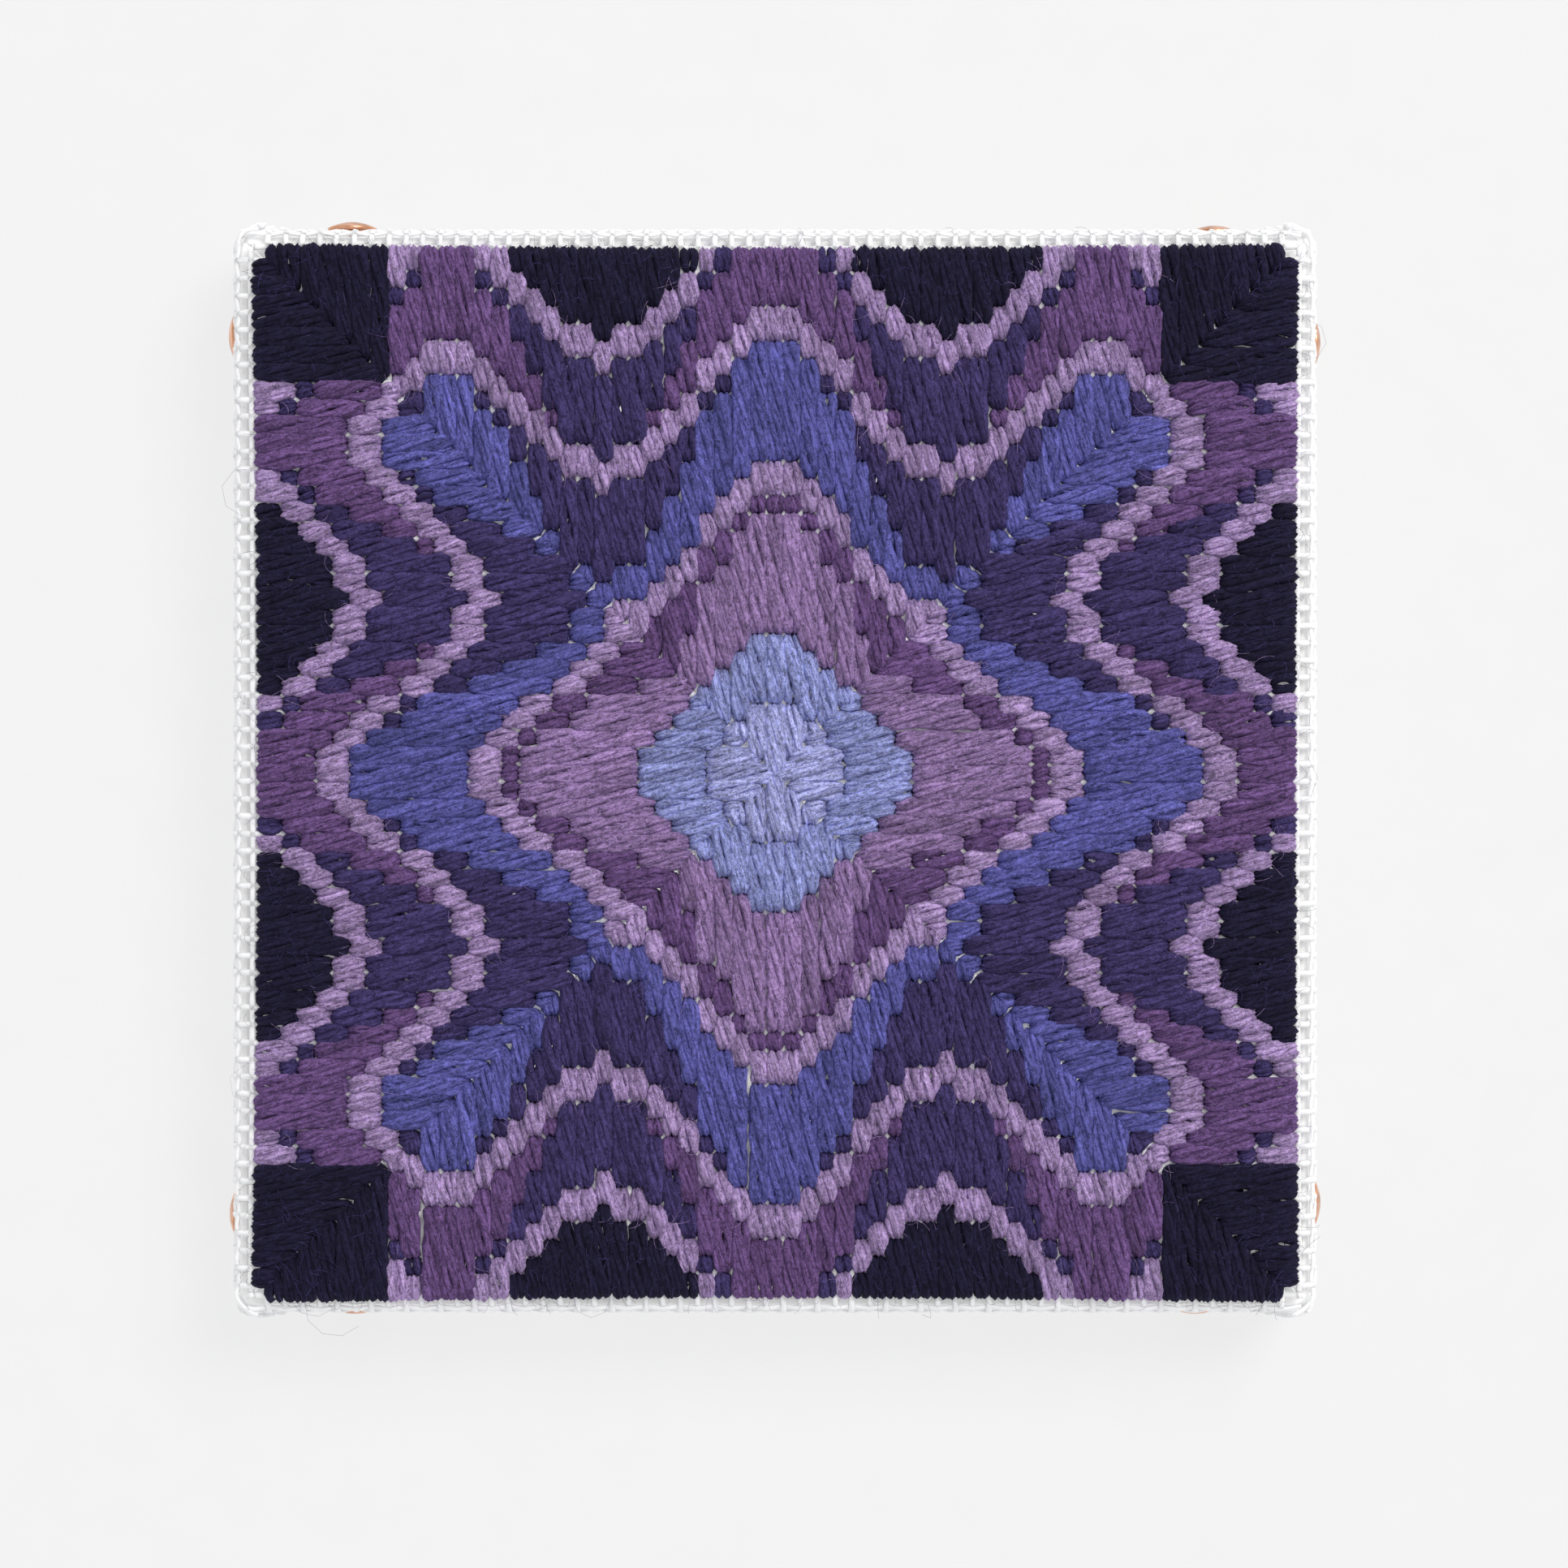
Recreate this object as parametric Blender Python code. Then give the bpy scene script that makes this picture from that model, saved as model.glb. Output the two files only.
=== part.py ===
"""An embroidered canvas panel: white needlepoint canvas stretched over four mitred stretcher bars,
held to their outer edges by domed tacks, with its face covered in upright woollen stitches.

The panel lies on its back. +X is the picture's right, +Y its top, and +Z comes out of its face.
The origin is at the middle of the panel, on the surface that the bars rest on.
"""

import math

import bmesh
import bpy
import numpy as np
from mathutils import Matrix, Vector

MM = 0.001

# Driving sizes.
PITCH = 2.44 * MM  # from one canvas thread to the next: ten threads to the inch, drawn up a little
STRETCH_UP = 1.011  # the same canvas is this much more open up the picture than across it
FIELD_SHIFT = -0.3 * MM  # the stitching lies this much above the middle of the frame
HALF_COUNT = 30  # threads from the middle of the stitching to its edge
FRAME_SIZE = 152.4 * MM  # a six inch frame
BAR_WIDTH = 19.0 * MM
BAR_DEPTH = 19.0 * MM
BAR_EDGE_ROUND = 1.0 * MM
GAP = 0.3 * MM  # between pieces that touch

# The layers over the bars, from the back to the front.
REVERSE_THICK = 0.8 * MM  # the wool that crosses the wrong side of the canvas
REVERSE_INSET = 0.6 * MM  # from the last row of holes to the edge of that wool
CANVAS_THICK = 0.9 * MM
CANVAS_BEND = 3.4 * MM  # outer radius where the canvas turns down over a bar, and round a corner
BEND_STEPS = 4
SIDE_STEPS = 5
CANVAS_HEM_Z = 1.2 * MM  # the cut edge of the canvas, above the surface
WOOL_LOW = 0.3 * MM  # wool over the canvas where a stitch dives into its hole
WOOL_CROWN = 1.8 * MM  # wool over the canvas in the middle of a long stitch
WOOL_UNEVEN = 0.08 * MM
WOOL_OVERHANG = 1.0 * MM  # how far the outermost stitches bulge past the holes that they end in

STITCHED_HALF = HALF_COUNT * PITCH
FRAME_HALF = FRAME_SIZE / 2
REVERSE_Z = BAR_DEPTH + GAP
CANVAS_UNDER_Z = REVERSE_Z + REVERSE_THICK + GAP
CANVAS_TOP_Z = CANVAS_UNDER_Z + CANVAS_THICK
CANVAS_HALF = FRAME_HALF + GAP + CANVAS_THICK
CANVAS_FLAT_HALF = CANVAS_HALF - CANVAS_BEND
BAR_CORNER_ROUND = CANVAS_BEND - CANVAS_THICK - GAP
WOOL_Z = CANVAS_TOP_Z + GAP

# How far the middle of each edge of the stitching is drawn in, because the tacks hold the corners.
BOW_LEFT = 1.0 * MM
BOW_RIGHT = 0.4 * MM
BOW_TOP = 0.6 * MM
BOW_BOTTOM = 0.7 * MM

# The canvas stands off between the tacks. Its spare cloth is folded away beside each corner, in a
# triangle on the top and bottom edges that widens from nothing at the face to FOLD_WIDTH at the hem.
SLACK = 0.5 * MM
SLACK_REACH = 52.0 * MM
FOLD_STAND = 1.2 * MM
FOLD_WIDTH = 7.5 * MM
FOLD_SOFT = 2.0 * MM
FOLD_STEP = 2.5 * MM  # between the points that draw it
FOLD_STEPS = 5
EDGE_STEPS = 8  # between one fold and the next

# The chart of the stitching, by hand: a flame's rise in threads, column by column from the middle of
# a quarter to its corner, and how much of the band over each of its lines is the inner colour.
FLAME = (9, 9, 8, 7, 6, 4, 3, 2, 1, 1, 0, 1, 1, 2, 3, 4, 5, 6, 7, 7, 7, 6, 5, 4, 3, 2, 1, 0, -1, -1, -2)
HEART = (5, 5, 5, 4, 4, 3, 2, 1, 0, 0, 0, 0, 0, 1, 2, 3, 4, 4, 5, 5, 5, 4, 4, 3, 2, 1, 0, 0, 0, 0, 0)
CORNER_COLUMN = 23  # the corners are one dark ground from here on
LONGEST_STITCH = 8

# A tack, which is a turned dome on a pin.
TACK_RADIUS = 3.6 * MM
TACK_DOME = 0.95 * MM
TACK_RIM = 0.3 * MM
PIN_RADIUS = 0.6 * MM
PIN_LENGTH = 9.0 * MM
PIN_POINT = 1.5 * MM
HOLE_RADIUS = PIN_RADIUS + GAP
HOLE_LENGTH = PIN_LENGTH + 1.0 * MM

# One row for each tack: name, quarter turns from the right edge, place along the edge, height.
TACKS = (
    ("tack_right_upper", 0, 62.0 * MM, 8.5 * MM),
    ("tack_right_lower", 0, -62.4 * MM, 8.5 * MM),
    ("tack_top_right", 1, -63.5 * MM, 8.5 * MM),
    ("tack_top_left", 1, 60.8 * MM, 12.5 * MM),
    ("tack_left_upper", 2, -62.8 * MM, 9.5 * MM),
    ("tack_left_lower", 2, 64.0 * MM, 8.5 * MM),
    ("tack_bottom_left", 3, -61.0 * MM, 5.5 * MM),
    ("tack_bottom_right", 3, 61.0 * MM, 5.5 * MM),
)
BARS = (("bar_right", 0), ("bar_top", 1), ("bar_left", 2), ("bar_bottom", 3))


def clear_scene():
    """Starts from an empty file."""
    for old in list(bpy.data.objects):
        bpy.data.objects.remove(old)


def finish(name, colour, roughness, metallic=0.0):
    """A plain Principled material."""
    made = bpy.data.materials.new(name)
    made.use_nodes = True
    shader = made.node_tree.nodes["Principled BSDF"]
    shader.inputs["Base Color"].default_value = (*colour, 1.0)
    shader.inputs["Roughness"].default_value = roughness
    shader.inputs["Metallic"].default_value = metallic
    return made


def object_from(name, bm, material, smooth_angle=40):
    """Turns a bmesh into a named object with its faces pointing out."""
    bmesh.ops.recalc_face_normals(bm, faces=bm.faces)
    mesh = bpy.data.meshes.new(name)
    bm.to_mesh(mesh)
    bm.free()
    mesh.shade_smooth()
    mesh.set_sharp_from_angle(angle=math.radians(smooth_angle))
    mesh.materials.append(material)
    made = bpy.data.objects.new(name, mesh)
    bpy.context.scene.collection.objects.link(made)
    return made


def quarter_turn(turns):
    """Turns a piece made for the right edge to another edge."""
    return Matrix.Rotation(turns * math.pi / 2, 4, "Z")


def smooth_step(value):
    """0 below 0, 1 above 1, and a smooth curve between."""
    value = min(1.0, max(0.0, value))
    return value * value * (3 - 2 * value)


def drawn_in(x, y):
    """A point of the stitched field, as the canvas is stretched and as the tacked corners pull it."""
    u, v = x / STITCHED_HALF, y / STITCHED_HALF
    left, right = BOW_LEFT * max(0.0, -u) ** 2, BOW_RIGHT * max(0.0, u) ** 2
    top, bottom = BOW_TOP * max(0.0, v) ** 2, BOW_BOTTOM * max(0.0, -v) ** 2
    pulled_up = (bottom - top) * (1 - u * u)
    return x + (left - right) * (1 - v * v), y * STRETCH_UP + FIELD_SHIFT + pulled_up


def colour_at(column, row):
    """The colour that covers the thread above a row, in one quarter of the panel.

    Every line of the pattern is the same flame, moved up. So the colour depends on how many threads
    the row lies above the first flame, and within a band on the heart that stands in it.
    """
    above = row - FLAME[column]
    heart = HEART[column]
    if above < -5:
        return "pale"
    if above < -1:
        return "periwinkle"
    if above < 7:
        return "mauve" if above < heart + 1 else "plum"
    if above < 9:
        return "lilac"
    if above < 16:
        return "royal" if above < heart + 11 else "aubergine"
    if above < 18:
        return "lilac"
    if column >= CORNER_COLUMN or above >= 25:
        return "navy"
    if above < 23:
        return "plum" if above < heart + 18 else "aubergine"
    return "lilac"


def stitch_ends(column):
    """The rows of holes that the stitches of one column run between, from the mitre to the edge."""
    changes = [
        row for row in range(column + 1, HALF_COUNT) if colour_at(column, row) != colour_at(column, row - 1)
    ]
    ends = [column, *changes, HALF_COUNT]
    shared = []
    for low, high in zip(ends, ends[1:]):
        shared.append(low)
        if high - low > LONGEST_STITCH:
            shared.append((low + high + column % 2) // 2)
    return shared + [HALF_COUNT]


def stitch_height(row, ends):
    """Wool over the canvas: low at a stitch's ends and crowned between them."""
    for low, high in zip(ends, ends[1:]):
        if low < row < high:
            along = (row - low) / (high - low)
            fullness = min(1.0, 0.55 + 0.1 * (high - low))
            return WOOL_LOW + (WOOL_CROWN - WOOL_LOW) * fullness * math.sin(math.pi * along) ** 0.6
    return WOOL_LOW


def overhang(threads):
    """How far a row of holes moves out to stand for the bulge of the stitches that end in it."""
    return math.copysign(WOOL_OVERHANG, threads) if abs(threads) == HALF_COUNT else 0.0


def wool_stitching(material):
    """The stitched field, with the relief of its stitches and a hole's notch at each corner."""
    ends = [stitch_ends(column) for column in range(HALF_COUNT + 1)]
    uneven = np.random.default_rng(7).uniform(-1, 1, (2 * HALF_COUNT + 1, 2 * HALF_COUNT + 1))
    count = 2 * HALF_COUNT + 1
    bm = bmesh.new()
    top = {}
    for i in range(count):
        for j in range(count):
            across, up = i - HALF_COUNT, j - HALF_COUNT
            near, far = sorted((abs(across), abs(up)))
            height = stitch_height(far, ends[near])
            if height > WOOL_LOW:
                height += WOOL_UNEVEN * uneven[i, j]
            x, y = drawn_in(across * PITCH, up * PITCH)
            place = (x + overhang(across), y + overhang(up), WOOL_Z + height)
            top[i, j] = bm.verts.new(place)
    last = count - 2
    corners = {(0, 0), (0, last), (last, 0), (last, last)}
    for i in range(count - 1):
        for j in range(count - 1):
            if (i, j) not in corners:
                bm.faces.new((top[i, j], top[i + 1, j], top[i + 1, j + 1], top[i, j + 1]))
    close_underneath(bm, WOOL_Z)
    return object_from("wool_stitching", bm, material, smooth_angle=30)


def close_underneath(bm, z):
    """Drops a wall from an open sheet's rim to a flat underside at height z."""
    loose = [v for v in bm.verts if not v.link_faces]
    bmesh.ops.delete(bm, geom=loose, context="VERTS")
    rim = [e for e in bm.edges if e.is_boundary]
    wall = bmesh.ops.extrude_edge_only(bm, edges=rim)["geom"]
    foot = [v for v in wall if isinstance(v, bmesh.types.BMVert)]
    for v in foot:
        v.co.z = z
    middle = bm.verts.new((0, 0, z))
    for e in [e for e in bm.edges if e.is_boundary]:
        bm.faces.new((e.verts[0], e.verts[1], middle))


def wool_reverse(material):
    """The wool that crosses the wrong side of the canvas, pressed flat against the bars."""
    steps = 12
    bm = bmesh.new()
    half = STITCHED_HALF - REVERSE_INSET
    line = np.linspace(-half, half, steps + 1)
    grid = [[bm.verts.new((*drawn_in(x, y), REVERSE_Z + REVERSE_THICK)) for y in line] for x in line]
    for a, b in zip(grid, grid[1:]):
        for k in range(steps):
            bm.faces.new((a[k], b[k], b[k + 1], a[k + 1]))
    close_underneath(bm, REVERSE_Z)
    return object_from("wool_reverse", bm, material)


def edge_places():
    """Places along an edge: close together over the folded cloth, and far apart between."""
    near = [CANVAS_FLAT_HALF - FOLD_STEP * k for k in range(1, FOLD_STEPS + 1)]
    between = np.linspace(near[-1], -near[-1], EDGE_STEPS + 1)[1:-1]
    return sorted([*near, *between, *(-place for place in near)])


def plan_outline():
    """Points round the canvas: where its bend starts, the way out of the edge, the place along it."""
    half = CANVAS_FLAT_HALF
    for turns in range(4):
        spin = quarter_turn(turns).to_3x3()
        for along in edge_places():
            yield spin @ Vector((half, along, 0)), spin @ Vector((1, 0, 0)), along
        for angle in np.linspace(0, math.pi / 2, BEND_STEPS + 1):
            out = Vector((math.cos(angle), math.sin(angle), 0))
            yield spin @ Vector((half, half, 0)), spin @ out, half


def stand_off(way, along, z):
    """How far the side of the canvas stands out past its plain place, at a place along an edge.

    Slack grows with the square of the drop from the face. The fold is where the place is nearer to
    the corner than the triangle is wide at that height, and only on the edges that face up or down
    the picture.
    """
    drop = (CANVAS_TOP_Z - z) / (CANVAS_TOP_Z - CANVAS_HEM_Z)
    slack = SLACK * drop ** 2 * smooth_step(1 - abs(along) / SLACK_REACH)
    inside_fold = FOLD_WIDTH * drop - (CANVAS_FLAT_HALF - abs(along))
    return slack + FOLD_STAND * smooth_step(inside_fold / FOLD_SOFT) * way.y ** 2


def canvas(material):
    """The canvas: flat over the bars, turned down over their outer edges, with its cut edge at the hem.

    It is drawn as rings, each a distance out from the start of the bend and a height: the outer
    surface from the face down to the hem, then the inner surface back up.
    """
    bend_z = CANVAS_TOP_Z - CANVAS_BEND
    inner_bend = CANVAS_BEND - CANVAS_THICK
    bends = np.linspace(0, math.pi / 2, BEND_STEPS + 1)
    outer = [(CANVAS_BEND * math.sin(a), bend_z + CANVAS_BEND * math.cos(a)) for a in bends]
    outer += [(CANVAS_BEND, z) for z in np.linspace(bend_z, CANVAS_HEM_Z, SIDE_STEPS + 1)[1:]]
    inner = [(inner_bend, CANVAS_HEM_Z)]
    inner += [(inner_bend * math.sin(a), bend_z + inner_bend * math.cos(a)) for a in reversed(bends)]
    points = list(plan_outline())
    count = len(points)
    bm = bmesh.new()
    rings = []
    for out, z in outer + inner:
        places = []
        for start, way, along in points:
            extra = stand_off(way, along, z) if z <= bend_z and out == CANVAS_BEND else 0.0
            places.append(start + way * (out + extra))
        rings.append([bm.verts.new((place.x, place.y, z)) for place in places])
    for a, b in zip(rings, rings[1:]):
        for k in range(count):
            n = (k + 1) % count
            bm.faces.new((a[k], b[k], b[n], a[n]))
    for ring, z in ((rings[0], CANVAS_TOP_Z), (rings[-1], CANVAS_UNDER_Z)):
        middle = bm.verts.new((0, 0, z))
        for k in range(count):
            bm.faces.new((ring[k], ring[(k + 1) % count], middle))
    bmesh.ops.remove_doubles(bm, verts=bm.verts, dist=1e-6)
    return object_from("canvas", bm, material)


def bar_plan():
    """The outline of the right bar from above: its outer corners are eased and its ends are mitred."""
    outer, inner, joint = FRAME_HALF, FRAME_HALF - BAR_WIDTH, GAP / 2
    start = outer - BAR_CORNER_ROUND
    upper = []
    for degrees in (0, 15, 30, 45):
        angle = math.radians(degrees)
        x = start + BAR_CORNER_ROUND * math.cos(angle)
        y = start + BAR_CORNER_ROUND * math.sin(angle)
        upper.append((x, y if degrees < 45 else y - joint))
    upper.append((inner, inner - joint))
    return upper + [(x, -y) for x, y in reversed(upper)]


def bar(name, turns, material):
    """One stretcher bar: a square length of wood with eased edges, cut to a mitre at each end."""
    bm = bmesh.new()
    foot = bm.faces.new([bm.verts.new((x, y, 0)) for x, y in bar_plan()])
    raised = bmesh.ops.extrude_face_region(bm, geom=[foot])["geom"]
    top = [v for v in raised if isinstance(v, bmesh.types.BMVert)]
    bmesh.ops.translate(bm, verts=top, vec=(0, 0, BAR_DEPTH))
    eased = []
    for e in bm.edges:
        run = e.verts[1].co - e.verts[0].co
        if abs(run.z) < BAR_DEPTH / 2 and abs(run.x) < BAR_WIDTH / 2:
            eased.append(e)
    bmesh.ops.bevel(bm, geom=eased, offset=BAR_EDGE_ROUND, segments=2, profile=0.5, affect="EDGES")
    bmesh.ops.transform(bm, matrix=quarter_turn(turns), verts=bm.verts)
    return object_from(name, bm, material)


def edge_place(turns, along, z, out):
    """The transform of a piece pushed into an edge: its own +Z points out of the edge."""
    local = Matrix.Translation((out, along, z)) @ Matrix.Rotation(math.pi / 2, 4, "Y")
    return quarter_turn(turns) @ local


def tack(name, turns, along, z, material):
    """A tack turned about its own pin: point, shank, flat underside, rim and dome."""
    ball = (TACK_RADIUS ** 2 + TACK_DOME ** 2) / (2 * TACK_DOME)
    tilt = math.asin(TACK_RADIUS / ball)
    profile = [(0, -PIN_LENGTH), (PIN_RADIUS, PIN_POINT - PIN_LENGTH), (PIN_RADIUS, 0), (TACK_RADIUS, 0)]
    dome_steps = 4
    for k in range(dome_steps + 1):
        angle = tilt * (1 - k / dome_steps)
        profile.append((ball * math.sin(angle), TACK_RIM + ball * (math.cos(angle) - math.cos(tilt))))
    bm = bmesh.new()
    line = [bm.verts.new((r, 0, h)) for r, h in profile]
    edges = [bm.edges.new(pair) for pair in zip(line, line[1:])]
    bmesh.ops.spin(
        bm, geom=line + edges, cent=(0, 0, 0), axis=(0, 0, 1), angle=2 * math.pi, steps=20, use_merge=True
    )
    bmesh.ops.remove_doubles(bm, verts=bm.verts, dist=1e-6)
    made = object_from(name, bm, material)
    way = quarter_turn(turns).to_3x3() @ Vector((1, 0, 0))
    rim = [(along + a * TACK_RADIUS, z + b * TACK_RADIUS) for a in (-1, 0, 1) for b in (-1, 0, 1)]
    proud = max(stand_off(way, place, height) for place, height in rim)
    made.matrix_world = edge_place(turns, along, z, CANVAS_HALF + proud + GAP)
    return made


def pin_hole(name, turns, along, z):
    """The cutter for a tack's pin, through the side of the canvas and into its bar."""
    bm = bmesh.new()
    bmesh.ops.create_cone(
        bm, cap_ends=True, segments=10, radius1=HOLE_RADIUS, radius2=HOLE_RADIUS, depth=2 * HOLE_LENGTH
    )
    cutter = object_from(name, bm, bpy.data.materials["tack_copper"])
    cutter.matrix_world = edge_place(turns, along, z, CANVAS_HALF)
    cutter.hide_render = True
    cutter.display_type = "WIRE"
    return cutter


def drill(target, cutter):
    """Cuts one hole."""
    cut = target.modifiers.new(cutter.name, "BOOLEAN")
    cut.operation = "DIFFERENCE"
    cut.solver = "EXACT"
    cut.object = cutter


def main():
    clear_scene()
    wool = finish("wool", (0.20, 0.13, 0.26), 0.95)
    canvas_white = finish("canvas_white", (0.86, 0.86, 0.84), 0.9)
    painted_wood = finish("painted_wood", (0.80, 0.79, 0.76), 0.6)
    copper = finish("tack_copper", (0.85, 0.42, 0.24), 0.25, metallic=1.0)

    wool_stitching(wool)
    wool_reverse(wool)
    cloth = canvas(canvas_white)
    bars = [bar(name, turns, painted_wood) for name, turns in BARS]
    for name, turns, along, z in TACKS:
        tack(name, turns, along, z, copper)
        hole = pin_hole(name + "_hole", turns, along, z)
        drill(cloth, hole)
        drill(bars[turns], hole)


main()
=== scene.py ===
# %% [markdown]
# # A wool-embroidered canvas panel
#
# The real object is a square of white needlepoint canvas, stretched over a small wooden frame and
# tacked to its outer edges. Its face is covered with upright stitches in thick wool, in four
# quarters that meet on the diagonals. This lesson dresses a plain solid model of it: every canvas
# thread and every ply of wool is a surface worked out with numpy, laid where the solids say.

import bpy
import numpy as np
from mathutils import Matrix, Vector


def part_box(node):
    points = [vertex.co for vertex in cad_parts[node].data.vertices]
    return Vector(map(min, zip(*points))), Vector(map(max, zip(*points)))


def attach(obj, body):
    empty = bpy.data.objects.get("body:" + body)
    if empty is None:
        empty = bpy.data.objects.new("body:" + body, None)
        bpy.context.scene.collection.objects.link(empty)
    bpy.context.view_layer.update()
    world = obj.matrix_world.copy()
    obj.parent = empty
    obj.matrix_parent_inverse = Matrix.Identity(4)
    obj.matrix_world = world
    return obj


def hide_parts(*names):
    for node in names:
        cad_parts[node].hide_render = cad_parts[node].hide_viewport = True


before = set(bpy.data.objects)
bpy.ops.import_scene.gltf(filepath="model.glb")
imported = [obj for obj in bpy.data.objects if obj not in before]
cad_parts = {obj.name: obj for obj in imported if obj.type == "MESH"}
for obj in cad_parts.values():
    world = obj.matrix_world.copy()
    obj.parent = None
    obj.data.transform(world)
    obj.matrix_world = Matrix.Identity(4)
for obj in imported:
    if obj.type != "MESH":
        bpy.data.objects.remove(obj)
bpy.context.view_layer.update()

# %% [markdown]
# ## Sizes
#
# A counted embroidery is measured in threads, so nearly every size here is a number of threads
# times the pitch of the canvas. The heights come from the plain model: the cloth lies on the bars,
# turns down over their outer edges in a tight round bend, and ends in a cut edge near the back.

# %% Sizes of the cloth and its stitching
MM = 0.001
PITCH = 2.44 * MM
HALF_COUNT = 30
STITCHED_HALF = HALF_COUNT * PITCH

CANVAS_THICK = 0.9 * MM
BAR_GAP = 0.3 * MM
OUTER_BEND = 3.4 * MM

frame_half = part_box("bar_right")[1][0]
canvas_low, canvas_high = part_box("canvas")
canvas_half = frame_half + BAR_GAP + CANVAS_THICK
flat_half = canvas_half - OUTER_BEND
bend = OUTER_BEND - CANVAS_THICK / 2
middle_z = canvas_high[2] - CANVAS_THICK / 2
hem_z = canvas_low[2]
turn_length = bend * np.pi / 2
cloth_half = flat_half + turn_length + middle_z - bend - hem_z
print(f"cloth: {cloth_half / PITCH:.1f} threads from its middle to its cut edge")

# %% [markdown]
# ## Camera, floor and light
#
# The picture looks straight down, a little to the right of the panel and below it, so the camera
# has no tilt. A long lens from 0.6 m keeps the edges of the frame almost hidden under the face. The
# floor is white paper on a light table, which keeps its shadows pale. The light is a large soft one
# from the upper right with a bright room round it, so the shadow lies along the left and lower edges.

# %% Camera
PICTURE = 1932
PICTURE_WIDTH = 0.2224
CAMERA_HEIGHT = 0.6
PANEL_CENTRE_PIXEL = (954.8, 949.8)

metres_per_pixel = PICTURE_WIDTH / PICTURE
camera_x = (PICTURE / 2 - PANEL_CENTRE_PIXEL[0]) * metres_per_pixel
camera_y = -(PICTURE / 2 - PANEL_CENTRE_PIXEL[1]) * metres_per_pixel
lens = bpy.data.cameras.new("camera")
lens.sensor_width = 36.0
lens.lens = lens.sensor_width * CAMERA_HEIGHT / PICTURE_WIDTH
camera = bpy.data.objects.new("camera", lens)
camera.location = (camera_x, camera_y, canvas_high[2] + CAMERA_HEIGHT)
bpy.context.scene.collection.objects.link(camera)
bpy.context.scene.camera = camera
print(f"camera: {lens.lens:.0f} mm lens, {CAMERA_HEIGHT} m over the face")


# %% Floor and light
FLOOR_HALF = 3.0
PAPER_TONE = 0.16
PAPER_GRAIN = 700.0
PAPER_GLOW = (0.720, 0.740)
ROOM_COLOUR = (0.97, 0.985, 1.0)
ROOM_STRENGTH = 0.70
SOFTBOX_PLACE = (0.75, 0.85, 1.5)
SOFTBOX_SIZE = 0.9
SOFTBOX_ENERGY = 20.0
SOFTBOX_COLOUR = (1.0, 0.985, 0.965)


def floor_material():
    """White translucent paper on a light table: it glows evenly, so shadows on it stay pale."""
    made = bpy.data.materials.new("lit_paper")
    made.use_nodes = True
    nodes, links = made.node_tree.nodes, made.node_tree.links
    shader = nodes["Principled BSDF"]
    shader.inputs["Roughness"].default_value = 0.9
    shader.inputs["Base Color"].default_value = (PAPER_TONE, PAPER_TONE, PAPER_TONE, 1.0)
    shader.inputs["Specular IOR Level"].default_value = 0.0
    grain = nodes.new("ShaderNodeTexNoise")
    grain.inputs["Scale"].default_value = PAPER_GRAIN
    glow = nodes.new("ShaderNodeMapRange")
    glow.inputs["To Min"].default_value = PAPER_GLOW[0]
    glow.inputs["To Max"].default_value = PAPER_GLOW[1]
    shader.inputs["Emission Color"].default_value = (1.0, 1.0, 1.0, 1.0)
    links.new(grain.outputs["Fac"], glow.inputs["Value"])
    links.new(glow.outputs["Result"], shader.inputs["Emission Strength"])
    return made


floor_mesh = bpy.data.meshes.new("floor")
floor_mesh.from_pydata(
    [(-FLOOR_HALF, -FLOOR_HALF, 0), (FLOOR_HALF, -FLOOR_HALF, 0),
     (FLOOR_HALF, FLOOR_HALF, 0), (-FLOOR_HALF, FLOOR_HALF, 0)],
    [], [(0, 1, 2, 3)],
)
floor_mesh.materials.append(floor_material())
floor = bpy.data.objects.new("floor", floor_mesh)
bpy.context.scene.collection.objects.link(floor)

world = bpy.data.worlds.new("bright_room")
world.use_nodes = True
world.node_tree.nodes["Background"].inputs["Color"].default_value = (*ROOM_COLOUR, 1.0)
world.node_tree.nodes["Background"].inputs["Strength"].default_value = ROOM_STRENGTH
bpy.context.scene.world = world

softbox_light = bpy.data.lights.new("softbox", "AREA")
softbox_light.shape = "SQUARE"
softbox_light.size = SOFTBOX_SIZE
softbox_light.energy = SOFTBOX_ENERGY
softbox_light.color = SOFTBOX_COLOUR
softbox = bpy.data.objects.new("softbox", softbox_light)
softbox.location = SOFTBOX_PLACE
aim = np.arctan2(np.hypot(SOFTBOX_PLACE[0], SOFTBOX_PLACE[1]), SOFTBOX_PLACE[2])
softbox.rotation_euler = (0.0, aim, np.arctan2(SOFTBOX_PLACE[1], SOFTBOX_PLACE[0]))
bpy.context.scene.collection.objects.link(softbox)
bpy.context.scene.view_settings.view_transform = "Standard"
print("floor, room light and softbox are in place")

# %% [markdown]
# ## From arrays to a piece
#
# Threads, plies and hairs are all tubes: a ring of points carried along a path. A tube could be a
# Blender curve with a bevel, but there are thousands of them, so it is much quicker to work out all
# their points as one array and hand it to a mesh in one call. The rings are joined by four-sided
# faces and each end is closed by one flat face.


# %% Helpers that make meshes
def unit(vectors):
    """Vectors divided by their own length."""
    return vectors / np.linalg.norm(vectors, axis=-1, keepdims=True)


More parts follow.
